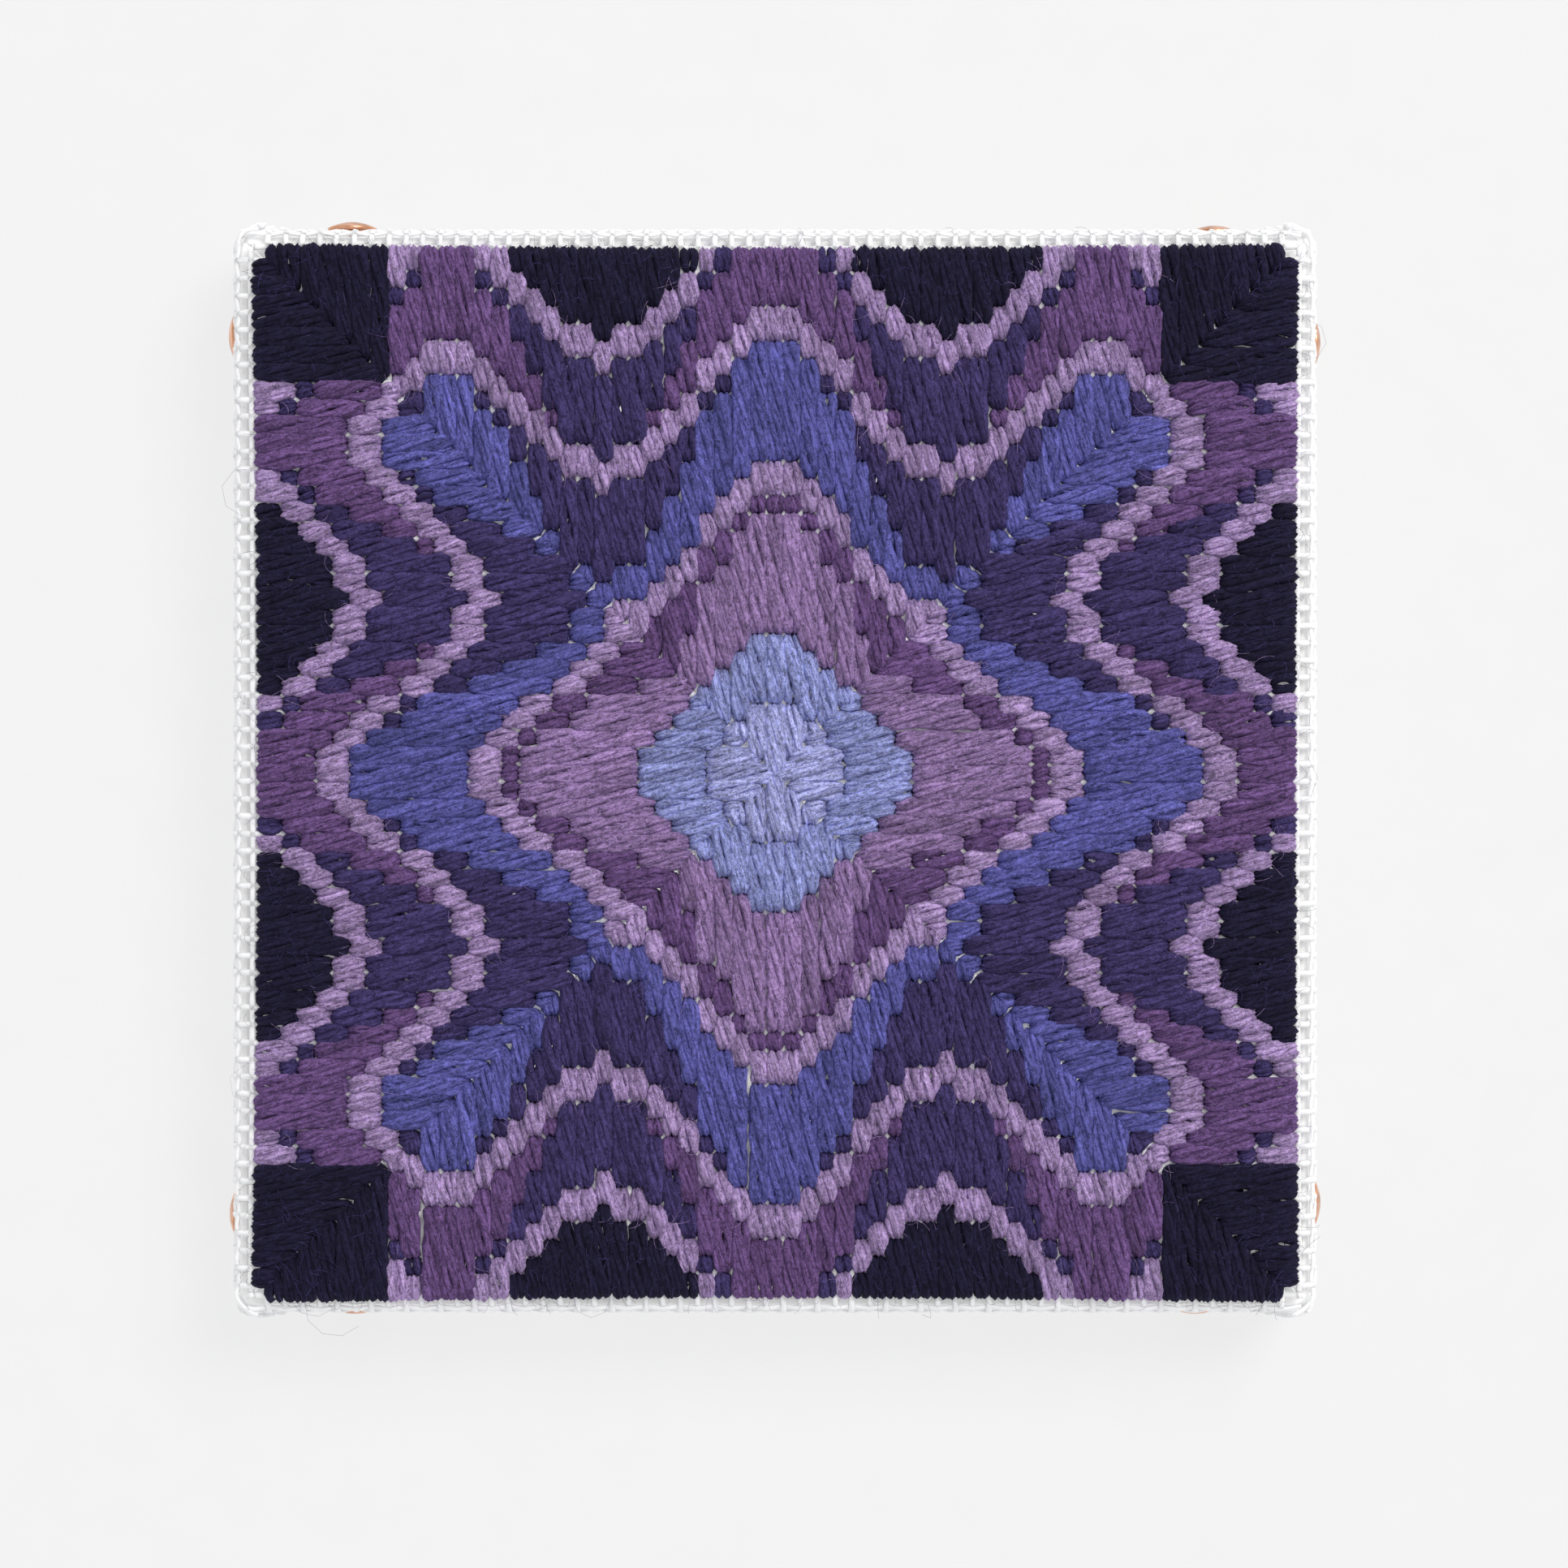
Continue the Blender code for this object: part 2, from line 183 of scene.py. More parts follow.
def tube_faces(tubes, points, sides):
    """Corner numbers of the faces of many equal tubes, as (side faces, end faces).

    Corner (tube, point, side) has the number (tube * points + point) * sides + side.
    """
    tube, point, side = np.meshgrid(
        np.arange(tubes), np.arange(points - 1), np.arange(sides), indexing="ij"
    )
    ring = (tube * points + point) * sides
    following = (side + 1) % sides
    walls = np.stack([ring + side, ring + following, ring + sides + following, ring + sides + side], -1)
    first = np.arange(tubes)[:, None] * points * sides + np.arange(sides)[::-1]
    last = (np.arange(tubes)[:, None] * points + points - 1) * sides + np.arange(sides)
    return walls.reshape(-1, 4), np.concatenate([first, last])


def tube_corners(path, across, lift, half_width, half_height, sides):
    """Rings of corners round paths.

    A corner is path + half_width * cos(angle) * across + half_height * sin(angle) * lift, where
    across and lift are at right angles to the path.
    """
    angle = np.arange(sides) * 2 * np.pi / sides
    wide = half_width[..., None, None] * np.cos(angle)[:, None] * across[..., None, :]
    high = half_height[..., None, None] * np.sin(angle)[:, None] * lift[..., None, :]
    return path[..., None, :] + wide + high


def ring_axes(path, side):
    """Two unit vectors at right angles to each path: the first as near to side as can be."""
    run = unit(np.gradient(path, axis=-2))
    upward = unit(np.cross(run, side))
    return np.cross(upward, run), upward


def joined(bundles, sides):
    """Corners, side faces and end faces of several bundles of tubes, numbered as one mesh."""
    corners, walls, ends, first = [], [], [], 0
    for bundle in bundles:
        bundle_walls, bundle_ends = tube_faces(bundle.shape[0], bundle.shape[1], sides)
        corners.append(bundle.reshape(-1, 3))
        walls.append(bundle_walls + first)
        ends.append(bundle_ends + first)
        first += len(corners[-1])
    return np.concatenate(corners), np.concatenate(walls), np.concatenate(ends)


def new_piece(name, tubes, material):
    """A smooth mesh object from one or more sets of (corners, side faces, end faces)."""
    counts = np.cumsum([0] + [len(corners) for corners, walls, ends in tubes])
    corners = np.concatenate([corners for corners, walls, ends in tubes])
    faces = []
    for (_, walls, ends), first in zip(tubes, counts):
        faces += [walls + first, ends + first]
    loops = np.concatenate([face.ravel() for face in faces]).astype(np.int32)
    sizes = np.concatenate([np.full(len(face), face.shape[1]) for face in faces])
    starts = (np.cumsum(sizes) - sizes).astype(np.int32)
    mesh = bpy.data.meshes.new(name)
    mesh.vertices.add(len(corners))
    mesh.vertices.foreach_set("co", corners.astype(np.float32).ravel())
    mesh.loops.add(len(loops))
    mesh.loops.foreach_set("vertex_index", loops)
    mesh.polygons.add(len(starts))
    mesh.polygons.foreach_set("loop_start", starts)
    mesh.update(calc_edges=True)
    mesh.shade_smooth()
    mesh.materials.append(material)
    made = bpy.data.objects.new(name, mesh)
    bpy.context.scene.collection.objects.link(made)
    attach(made, "root")
    return made


def note_on_corners(piece, name, values):
    """Stores a number, or three, for each corner of a piece, for its material to read."""
    values = np.asarray(values, dtype=np.float32)
    kind, field = ("FLOAT", "value") if values.ndim == 1 else ("FLOAT_VECTOR", "vector")
    layer = piece.data.attributes.new(name, kind, "POINT")
    layer.data.foreach_set(field, values.ravel())


def triangles(piece):
    """How many triangles a piece has."""
    piece.data.calc_loop_triangles()
    return len(piece.data.loop_triangles)


# %% [markdown]
# ## The cloth as a surface
#
# Everything on the panel is placed in the cloth's own flat coordinates, u across and v up, counted
# along the cloth from its middle. Two steps turn them into places. First the cloth is pulled: the
# tacks near the corners hold them out while the middle of each edge draws in, so the stitched
# square has slightly hollow sides. Then it is wrapped over the frame, flat on top and round the bend.


# %% Pull and wrap
STRETCH_UP = 1.011
FIELD_SHIFT = -0.3 * MM
BOW_LEFT, BOW_RIGHT = 1.0 * MM, 0.4 * MM
BOW_TOP, BOW_BOTTOM = 0.6 * MM, 0.7 * MM


def field_fade(along):
    """1 over the stitched square, falling evenly to 0 at the cut edge, which isn't pulled."""
    past = (np.abs(along) - STITCHED_HALF) / (cloth_half - STITCHED_HALF)
    return 1 - np.clip(past, 0, 1)


def one_way_pull(along, other, low_bow, high_bow):
    """How far the cloth moves towards its middle in one direction.

    The pull is bow * share squared * (1 - other share squared): nothing at the middle of the cloth
    and at the corners, all of the bow at the middle of an edge. It fades again towards the hem.
    """
    share = np.clip(along / STITCHED_HALF, -1, 1)
    other_share = np.clip(other / STITCHED_HALF, -1, 1)
    bow = np.where(along < 0, low_bow, -high_bow) * share ** 2
    return bow * (1 - other_share ** 2) * field_fade(along)


def pulled(u, v):
    """Flat places after the cloth has been tacked down, a little more open upwards than across."""
    opened = (v * (STRETCH_UP - 1) + FIELD_SHIFT) * field_fade(v)
    return (
        u + one_way_pull(u, v, BOW_LEFT, BOW_RIGHT),
        v + opened + one_way_pull(v, u, BOW_BOTTOM, BOW_TOP),
    )


def over_edge(along):
    """The profile of the cloth over the frame, at distances along it from the middle.

    The cloth is flat as far as flat_half, then follows a quarter circle, then hangs straight down.
    Returns the distance out, the drop below the face, and the tilt of the surface in radians.
    """
    past = np.clip(np.abs(along) - flat_half, 0, None)
    angle = np.minimum(past / bend, np.pi / 2)
    out = np.minimum(np.abs(along), flat_half) + bend * np.sin(angle)
    drop = bend * (1 - np.cos(angle)) + np.clip(past - turn_length, 0, None)
    return np.sign(along) * out, drop, np.sign(along) * angle


def on_cloth(u, v, lift):
    """Places over the middle of the cloth's thickness, by lift, at flat places that turn down over
    one edge at most."""
    x, drop_x, tilt_x = over_edge(u)
    y, drop_y, tilt_y = over_edge(v)
    level = middle_z - drop_x - drop_y
    return np.stack(
        [x + lift * np.sin(tilt_x), y + lift * np.sin(tilt_y), level + lift * np.cos(tilt_x + tilt_y)], -1
    )


edge_x = on_cloth(*pulled(np.array([STITCHED_HALF]), np.array([0.0])), 0.0)[0]
print(f"the last holes stand {1000 * edge_x[0]:.1f} mm out at the middle of the right edge")

# %% [markdown]
# ## The canvas
#
# Needlepoint canvas is a plain weave of stiff cotton threads with open holes between them: each
# thread goes over one and under the next. A texture with holes would be far lighter, but the white
# threads are seen from very near at the margin and show between the stitches, so each thread is a
# real flattened tube. Its middle line rises and falls as a cosine, one half wave for each crossing.
# Under the wool a thread has one ring for each crossing. In the margin it has four.

# %% Where the rings of a thread lie
THREAD_HALF_WIDTH = 0.47 * MM
THREAD_HALF_HEIGHT = 0.26 * MM
WEAVE_RISE = 0.19 * MM
THREAD_SIDES = 5
THREAD_WANDER = 0.05 * MM
THREAD_SWELL = 0.05

cut_edge = cloth_half / PITCH
under_wool = np.arange(-29.5, 30)
margin = np.arange(29.75, 33.5, 0.25)
lower = np.append(np.arange(33.5, cut_edge - 0.5, 0.5), cut_edge)
outside = np.concatenate([margin, lower])
ring_places = np.concatenate([-outside[::-1], under_wool, outside]) * PITCH
face_threads = (np.arange(-30, 30) + 0.5) * PITCH
side_threads = np.arange(30.5, cut_edge) * PITCH
print(len(face_threads), "threads each way over the face and", len(side_threads), "down each side")


# %% Threads over the face
def weave(along, thread, over):
    """The rise of a thread: WEAVE_RISE * cos(pi * (along + thread) / pitch - pi), signed by over.

    At a crossing both numbers are half threads, so the cosine is 1 or -1 there, in turn.
    """
    return over * WEAVE_RISE * np.cos(np.pi * (along + thread) / PITCH - np.pi)


def wobble(shape, amount, seed, smooth=9):
    """Small uneven shifts along each thread: random numbers averaged over their neighbours."""
    raw = np.random.default_rng(seed).normal(0, 1, (*shape[:-1], shape[-1] + smooth))
    total = np.cumsum(raw, axis=-1)
    return amount / np.sqrt(smooth) * (total[..., smooth:] - total[..., :-smooth])


def woven(path, lift, swell):
    """Corners of threads whose rings lie at right angles to their paths."""
    across, upward = ring_axes(path, np.cross(lift, np.gradient(path, axis=-2)))
    width = THREAD_HALF_WIDTH * swell
    height = THREAD_HALF_HEIGHT * swell
    return tube_corners(path, across, upward, width, height, THREAD_SIDES)


def face_thread_corners(upright):
    """All the threads that run one way over the face and down two sides."""
    along, thread = np.meshgrid(ring_places, face_threads)
    uneven = thread + wobble(along.shape, THREAD_WANDER, 11 + upright)
    rise = weave(along, thread, 1 if upright else -1)
    u, v = (uneven, along) if upright else (along, uneven)
    flat = pulled(u, v)
    path = on_cloth(*flat, rise)
    lift = on_cloth(*flat, rise + PITCH) - path
    swell = 1 + wobble(along.shape, THREAD_SWELL, 21 + upright)
    return woven(path, unit(lift), swell)


# %% [markdown]
# The threads that lie on the sides run along the edges. At a corner the spare cloth has to go
# somewhere: the cloth of the left and right sides carries on round the corner and lies flat over
# the top and bottom sides, as a triangle that widens towards the hem.

# %% Threads along the sides and in the corner folds
FOLD_WIDTH = 7.5 * MM
FOLD_STAND = 0.95 * MM


def round_corner(u, w, lift, fold=1):
    """Places on the right side of the cloth, u from the middle and w along the side.

    Past the flat part the side turns about the corner of the frame through a quarter circle and
    runs on along the neighbouring side, where it stands FOLD_STAND further out as the outer layer.
    """
    out, drop, tilt = over_edge(u)
    turn = np.clip((np.abs(w) - flat_half) / turn_length, 0, 1) * np.pi / 2
    beyond = np.clip(np.abs(w) - flat_half - turn_length, 0, None)
    radius = out - flat_half + lift * np.sin(tilt) + fold * FOLD_STAND * turn / (np.pi / 2) * np.sin(tilt)
    x = flat_half + radius * np.cos(turn) - beyond
    y = np.sign(w) * (np.minimum(np.abs(w), flat_half) + radius * np.sin(turn))
    z = middle_z - drop + lift * np.cos(tilt)
    return np.stack([x, y, z + 0 * x], -1)


def fold_reach(drop):
    """How far along a side the fold reaches past the corner, at a drop below the face."""
    return turn_length + FOLD_WIDTH * np.clip(drop / (canvas_high[2] - hem_z), 0, 1)


def side_thread_corners(places, step, folded):
    """Threads that run along the right side, at these distances from the middle of the cloth.

    Each has a ring every step threads. The rings are spread evenly, so all the threads have as many.
    """
    past_flat = fold_reach(over_edge(places)[1]) if folded else 0.25 * turn_length + 0 * places
    reach = flat_half + past_flat
    rings = int(2 * flat_half / PITCH / step) + 12
    w = reach[:, None] * np.linspace(-1, 1, rings)
    thread = places[:, None] + 0 * w
    u = thread + one_way_pull(thread, w, BOW_LEFT, BOW_RIGHT)
    rise = weave(w, thread, 1)
    path = round_corner(u, w, rise, folded)
    lift = round_corner(u, w, rise + PITCH, folded) - path
    return woven(path, unit(lift), 1 + wobble(w.shape, THREAD_SWELL, 31))


def fold_thread_corners():
    """The short upright threads of a fold, from its slanting edge down to the hem."""
    w = np.arange(30.5, (flat_half + turn_length + FOLD_WIDTH) / PITCH) * PITCH
    beyond = np.clip(w - flat_half - turn_length, 0, None)
    slant = cloth_half - (1 - beyond / FOLD_WIDTH) * (cloth_half - flat_half)
    top = np.maximum(flat_half + turn_length, slant)
    share = np.linspace(0, 1, 20)
    u = top[:, None] + (cloth_half - top)[:, None] * share
    thread = w[:, None] + 0 * u
    path = round_corner(u, thread, weave(u, thread, -1))
    lift = round_corner(u, thread, PITCH) - round_corner(u, thread, 0)
    return woven(path, unit(lift), np.ones_like(u))


def turned(corners, x_axis, y_axis):
    """Corners laid out for the right side, carried to another: x_axis and y_axis say where +X and
    +Y go."""
    x = np.asarray(x_axis, dtype=float)
    y = np.asarray(y_axis, dtype=float)
    flat = corners[..., 0:1] * x + corners[..., 1:2] * y
    return np.concatenate([flat, corners[..., 2:3]], -1)


# %% [markdown]
# ## The look of white cotton
#
# Canvas cotton is stiff and slightly fuzzy, so it has no shine. Light goes through it, which is why
# the shaded sides of the threads and the bottoms of the holes still look pale. Subsurface scattering
# gives part of that. The rest is painted light: a faint even glow, an emission that lightens the
# shaded sides and the holes in place of light that would be slow to trace.

# %% The material of the threads
def principled(name, roughness, colour=None):
    """A new material: (material, its nodes, its links, its shader)."""
    made = bpy.data.materials.new(name)
    made.use_nodes = True
    nodes, links = made.node_tree.nodes, made.node_tree.links
    shader = nodes["Principled BSDF"]
    shader.inputs["Roughness"].default_value = roughness
    if colour is not None:
        shader.inputs["Base Color"].default_value = (*colour, 1.0)
    return made, nodes, links, shader


def noise_node(nodes, scale, detail=2.0, roughness=0.5, distortion=0.0):
    """A noise texture. On Object coordinates its scale is about the number of spots to the metre."""
    made = nodes.new("ShaderNodeTexNoise")
    made.inputs["Scale"].default_value = scale
    made.inputs["Detail"].default_value = detail
    made.inputs["Roughness"].default_value = roughness
    made.inputs["Distortion"].default_value = distortion
    return made


def tone_node(nodes, low, low_colour, high, high_colour):
    """A ramp from one colour at the value low to another at the value high."""
    made = nodes.new("ShaderNodeValToRGB")
    made.color_ramp.elements[0].position = low
    made.color_ramp.elements[0].color = (*low_colour, 1)
    made.color_ramp.elements[1].position = high
    made.color_ramp.elements[1].color = (*high_colour, 1)
    return made


def bump_node(nodes, strength, distance):
    """A bump whose height is at most this distance."""
    made = nodes.new("ShaderNodeBump")
    made.inputs["Strength"].default_value = strength
    made.inputs["Distance"].default_value = distance
    return made


PAINTED_GLOW = 0.10


def add_painted_glow(shader):
    """Painted light: a faint even emission that lightens shaded sides and holes, in place of light that
    passes through and bounces.
    """
    shader.inputs["Emission Color"].default_value = (1.0, 1.0, 1.0, 1.0)
    shader.inputs["Emission Strength"].default_value = PAINTED_GLOW


def cotton_material():
    """White cotton thread: cloudy tones, a fine fibre bump, light inside it and a painted glow, on Object
    coordinates.
    """
    made, nodes, links, shader = principled("canvas_cotton", 0.95)
    place = nodes.new("ShaderNodeTexCoord")
    clouds = noise_node(nodes, 700.0, detail=3.0)
    tone = tone_node(nodes, 0.3, (0.77, 0.77, 0.785), 0.6, (0.85, 0.85, 0.86))
    fibre = noise_node(nodes, 5200.0)
    bump = bump_node(nodes, 0.5, 0.05 * MM)
    links.new(place.outputs["Object"], clouds.inputs["Vector"])
    links.new(place.outputs["Object"], fibre.inputs["Vector"])
    links.new(clouds.outputs["Fac"], tone.inputs["Fac"])
    links.new(tone.outputs["Color"], shader.inputs["Base Color"])
    links.new(fibre.outputs["Fac"], bump.inputs["Height"])
    links.new(bump.outputs["Normal"], shader.inputs["Normal"])
    shader.inputs["Sheen Weight"].default_value = 0.15
    shader.inputs["Subsurface Weight"].default_value = 0.8
    shader.inputs["Subsurface Radius"].default_value = (1.0, 1.0, 1.0)
    shader.inputs["Subsurface Scale"].default_value = 0.8 * MM
    shader.inputs["Specular IOR Level"].default_value = 0.1
    # Painted light: a faint even glow lightens the shaded sides of the threads and the holes.
    add_painted_glow(shader)
    return made


# %% Weave the canvas
SIDE_FRAMES = {"right": ((1, 0), (0, 1)), "left": ((-1, 0), (0, 1)),
               "top": ((0, 1), (1, 0)), "bottom": ((0, -1), (1, 0))}

bundles = [face_thread_corners(upright) for upright in (0, 1)]
for side, (x_axis, y_axis) in SIDE_FRAMES.items():
    folded = side in ("right", "left")
    for places, step in ((side_threads[:2], 0.25), (side_threads[2:], 0.5)):
        bundles.append(turned(side_thread_corners(places, step, folded), x_axis, y_axis))
    if folded:
        upper = fold_thread_corners()
        lower_fold = upper * (1, -1, 1)
        bundles += [turned(upper, x_axis, y_axis), turned(lower_fold, x_axis, y_axis)]

canvas = new_piece("woven_canvas", [joined(bundles, THREAD_SIDES)], cotton_material())
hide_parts("canvas")
print("woven canvas:", triangles(canvas), "triangles")

# %% [markdown]
# ## The chart
#
# The design is a flame stitch: in each column of a quarter the colours follow in the same order, and
# the flame line says how far they are moved up. The chart is worked out for one half quarter and
# mirrored. A stitch runs from one change of colour to the next, and a run of more than eight threads
# is shared between two stitches, as a longer one would snag.

# %% Chart the stitches
FLAME = (9, 9, 8, 7, 6, 4, 3, 2, 1, 1, 0, 1, 1, 2, 3, 4, 5, 6, 7, 7, 7, 6, 5, 4, 3, 2, 1, 0, -1, -1, -2)
HEART = (5, 5, 5, 4, 4, 3, 2, 1, 0, 0, 0, 0, 0, 1, 2, 3, 4, 4, 5, 5, 5, 4, 4, 3, 2, 1, 0, 0, 0, 0, 0)
CORNER_COLUMN = 23
LONGEST_STITCH = 8


def colour_at(column, row):
    """The colour over one thread: it depends on how far the row is above the flame's line."""
    above = row - FLAME[column]
    heart = HEART[column]
    if above < -5:
        return "pale"
    if above < -1:
        return "periwinkle"
    if above < 7:
        return "mauve" if above < heart + 1 else "plum"
    if above < 9:
        return "lilac"
    if above < 16:
        return "royal" if above < heart + 11 else "aubergine"
    if above < 18:
        return "lilac"
    if column >= CORNER_COLUMN or above >= 25:
        return "navy"
    if above < 23:
        return "plum" if above < heart + 18 else "aubergine"
    return "lilac"


def column_stitches(column):
    """The stitches of a column of a quarter, as (first hole, last hole, colour)."""
    found, low = [], column
    for row in range(column + 1, HALF_COUNT + 1):
        colour = colour_at(column, low)
        if row == HALF_COUNT or colour_at(column, row) != colour:
            middle = (low + row + column % 2) // 2 if row - low > LONGEST_STITCH else row
            found += [(low, middle, colour)] + ([(middle, row, colour)] if middle < row else [])
            low = row
    return found


chart = [
    (quarter, column, low, high, colour)
    for quarter in range(4) for column in range(1 - HALF_COUNT, HALF_COUNT)
    for low, high, colour in column_stitches(abs(column))
]
colours = sorted({stitch[4] for stitch in chart})
print(len(chart), "stitches:", {c: sum(stitch[4] == c for stitch in chart) for c in colours})

# %% [markdown]
# ## Woollen stitches
#
# Tapestry wool is a loose cord of a few plies. Laid over the threads, it flattens to the width of one
# column, so that the white canvas hardly shows. At each end it turns down into a hole that it shares
# with the next stitch, and there it is squeezed. So each stitch is seven tubes wound round a flattened
# helix that narrows at both ends. The plies look alike but never are, so each has its own slight
# swelling and wander.

# %% The path of a stitch
WOOL_CROWN = 1.42 * MM
CROWN_VARIES = 0.07
WOOL_DIVE = 1.5 * MM
HOLE_DEPTH = 0.55 * MM
SHORT_FULLNESS, FULLNESS_PER_THREAD = 0.62, 0.08
PLIES = 7
PLY_HALF = 0.52 * MM
PLY_SIDES = 4
PLY_ANGLE_VARIES = 0.28
PLY_SIZE_VARIES = 0.12
PLY_WANDER = 0.09 * MM
PLY_SWELL = 0.08
SPREAD_ACROSS = 1.02 * MM
SPREAD_UP = 0.34 * MM
TWIST_LENGTH = 18.0 * MM
HOLE_SHARE = 0.18 * MM
MITRE_REACH = 0.35 * MM
OUTER_BULGE = 0.98 * MM
SIDESTEP = 0.14 * MM
SQUEEZED = 0.55
SQUEEZED_PLY = 0.8
STITCH_SHADE, PLY_SHADE = 0.05, 0.13
FIBRE_TWIST = 350.0


def turn_flat(across, along, quarters):
    """Flat places of a quarter turned by whole quarter turns to where the quarter lies."""
    angle = quarters * np.pi / 2
    return (
        across * np.cos(angle) - along * np.sin(angle),
        across * np.sin(angle) + along * np.cos(angle),
    )


def ring_shares(threads):
    """Shares of a stitch's length where its rings lie: close together at both ends.

    The share is t - 0.13 * sin(2 * pi * t), for evenly spaced t from 0 to 1.
    """
    even = np.linspace(0, 1, 5 + threads)
    return even - 0.13 * np.sin(2 * np.pi * even)


def dive_shape(distance):
    """A quarter circle that rises from 0 at the hole to 1 where the stitch lies level."""
    return np.sqrt(1 - (1 - np.clip(distance / WOOL_DIVE, 0, 1)) ** 2)


def ply_paths(stitches, threads, rng):
    """The middle lines of the plies of stitches of one length, and how far open each ring is.

    A ply lies round the stitch's own middle line at an angle that grows along the stitch. Its offset
    is spread across * cos(angle), and spread up * the signed square root of sin(angle), which keeps
    the top of the stitch flat almost to its sides.
    """
    quarter, column, low, high = stitches.T
    count = len(stitches)
    length = threads * PITCH
    near = np.where(low == np.abs(column), -MITRE_REACH, HOLE_SHARE)[:, None]
    far = np.where(high == HALF_COUNT, OUTER_BULGE, -HOLE_SHARE)[:, None]
    share = ring_shares(threads)
    along = low[:, None] * PITCH + near + (length - near + far) * share
    from_end = np.minimum(share, 1 - share) * length
    open_share = dive_shape(from_end + 0 * along)
    fullness = min(1.0, SHORT_FULLNESS + FULLNESS_PER_THREAD * threads)
    crown = WOOL_CROWN * fullness * (1 + rng.normal(0, CROWN_VARIES, (count, 1)))
    lift = -HOLE_DEPTH + (crown + HOLE_DEPTH) * open_share
    start = rng.uniform(0, 2 * np.pi, (count, 1, 1))
    ply = np.arange(PLIES)[None, :, None] * 2 * np.pi / PLIES
    ply = ply + rng.normal(0, PLY_ANGLE_VARIES, (count, PLIES, 1))
    angle = start + ply + 2 * np.pi * (share * length)[None, None, :] / TWIST_LENGTH
    squeeze = SQUEEZED + (1 - SQUEEZED) * open_share[:, None, :]
    sideways = SPREAD_ACROSS * squeeze * np.cos(angle)
    raised = np.sign(np.sin(angle)) * np.sqrt(np.abs(np.sin(angle)))
    sideways = sideways + SIDESTEP * rng.normal(0, 1, (count, 1, 1)) * open_share[:, None, :]
    across = column[:, None, None] * PITCH + sideways
    upward = lift[:, None, :] + SPREAD_UP * squeeze * raised
    flat = turn_flat(across, along[:, None, :] + 0 * across, quarter[:, None, None])
    return on_cloth(*pulled(*flat), upward), open_share[:, None, :] + 0 * across


def fibre_places(sides, run, own_start):
    """Where each corner lies in its own ply, for the streaks: across the ply, and run along it.

    The fibres wind round the ply, so the place is turned by an angle that grows with run.
    """
    angle = np.arange(sides) * 2 * np.pi / sides + run[..., None] * FIBRE_TWIST
    across = PLY_HALF * np.cos(angle) + own_start
    upward = PLY_HALF * np.sin(angle) + own_start
    return np.stack([across, upward, run[..., None] + 0 * angle], -1)


def ply_corners(stitches, threads, rng):
    """Corners of all the plies of stitches of one length, with their fibre places and shades."""
    path, open_share = ply_paths(stitches, threads, rng)
    path, open_share = (a.reshape(-1, *a.shape[2:]) for a in (path, open_share))
    quarter = np.repeat(stitches[:, 0], PLIES)
    side = np.stack([*turn_flat(1.0, 0.0, quarter), 0 * quarter], -1)[:, None, :] + 0 * path
    across, upward = ring_axes(path, side)
    rings = path.shape[:2]
    wander = [wobble(rings, PLY_WANDER, rng.integers(1 << 30), 3)[..., None] for _ in range(2)]
    path = path + wander[0] * across + wander[1] * upward
    swell = 1 + wobble(rings, PLY_SWELL, rng.integers(1 << 30), 3)
    swell = swell + rng.normal(0, PLY_SIZE_VARIES, (len(path), 1))
    half = PLY_HALF * (SQUEEZED_PLY + (1 - SQUEEZED_PLY) * open_share) * swell
    corners = tube_corners(path, across, upward, half, half, PLY_SIDES)

    steps = np.linalg.norm(np.diff(path, axis=1), axis=-1)
    run = np.concatenate([np.zeros((len(path), 1)), np.cumsum(steps, axis=1)], 1)
    fibre = fibre_places(PLY_SIDES, run, rng.uniform(0, 1, (len(path), 1, 1)))
    shade = 1 + STITCH_SHADE * np.repeat(rng.normal(0, 1, len(stitches)), PLIES)
    shade = shade + PLY_SHADE * rng.normal(0, 1, len(path))
    return corners, fibre, shade[:, None, None] + 0 * corners[..., 0]


# %% [markdown]
# ## The wrong side
#
# Upright stitches are worked so that the needle always comes up at the same end. On the wrong side
# the wool therefore runs slantwise from the far end of each stitch to the near end of the next, and
# covers the back almost as well as the front. Pressed against the bars, it is one flat strand there.

# %% Strands on the wrong side
REVERSE_LOW, REVERSE_HIGH = (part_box("wool_reverse")[k][2] for k in (0, 1))
REVERSE_HALF_WIDTH = 1.35 * MM
REVERSE_HALF_HEIGHT = 0.30 * MM
REVERSE_REACH = 0.35
REVERSE_LAST = 29.8
REVERSE_SHADE = 0.06


def reverse_corners(stitches, rng):
    """One flattened strand for each stitch, from its far hole to the near hole one column on."""
    quarter, column, low, high = (values[:, None] for values in stitches.T)
    share = np.linspace(0, 1, 5)
    inset = np.minimum(share, 1 - share) * 2
    column_on = column + np.where(column + 1 < low, 1, -1)
    across = (column + (column_on - column) * share) * PITCH
    first, last = np.minimum(high + REVERSE_REACH, REVERSE_LAST), low - REVERSE_REACH
    along = (first * (1 - share) + last * share) * PITCH + 0 * across
    level = REVERSE_LOW + (REVERSE_HIGH - REVERSE_LOW) * (0.56 - 0.12 * inset) + 0 * across
    flat = pulled(*turn_flat(across, along, quarter))
    path = np.stack([*flat, level], -1)
    side = np.stack([*turn_flat(1.0, 0.0, quarter), 0 * quarter], -1) + 0 * path
    width = REVERSE_HALF_WIDTH * (0.75 + 0.25 * inset) + 0 * level
    height = REVERSE_HALF_HEIGHT + 0 * level
    corners = tube_corners(path, *ring_axes(path, side), width, height, PLY_SIDES)
    own_start = rng.uniform(0, 1, (len(stitches), 1, 1))
    shade = 1 + REVERSE_SHADE * rng.normal(0, 1, (len(stitches), 1, 1)) + 0 * corners[..., 0]
    return corners, fibre_places(PLY_SIDES, (high - low) * PITCH * share, own_start), shade


